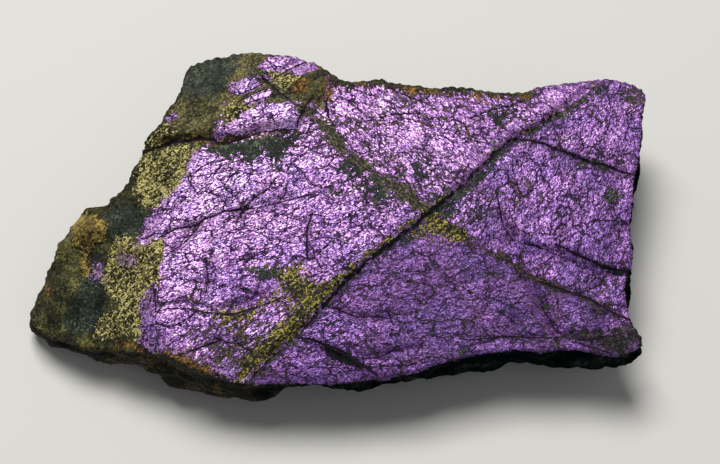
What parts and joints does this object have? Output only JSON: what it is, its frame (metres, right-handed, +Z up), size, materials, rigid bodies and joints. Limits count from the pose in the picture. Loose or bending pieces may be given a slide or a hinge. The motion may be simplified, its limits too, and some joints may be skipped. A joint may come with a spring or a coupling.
{
  "type": "purpurite specimen",
  "caption": "Broken slab of purpurite ore with a violet cleavage face crossed by two veins, a weathered oxide rind and a flat underside",
  "frame": {"origin": "middle of the stone's bounding box in plan, on the surface it rests on", "axes": "+X along the stone's length towards its square end, +Y across it towards the raised cap, +Z up out of the violet face"},
  "size_m": [0.102, 0.0568, 0.0236],
  "materials": {
    "purpurite_ore": "violet satin cleavage face with olive-brown weathered oxide rind"
  },
  "bodies": {
    "root": {"purpurite_stone": "purpurite_ore"}
  },
  "joints": []
}
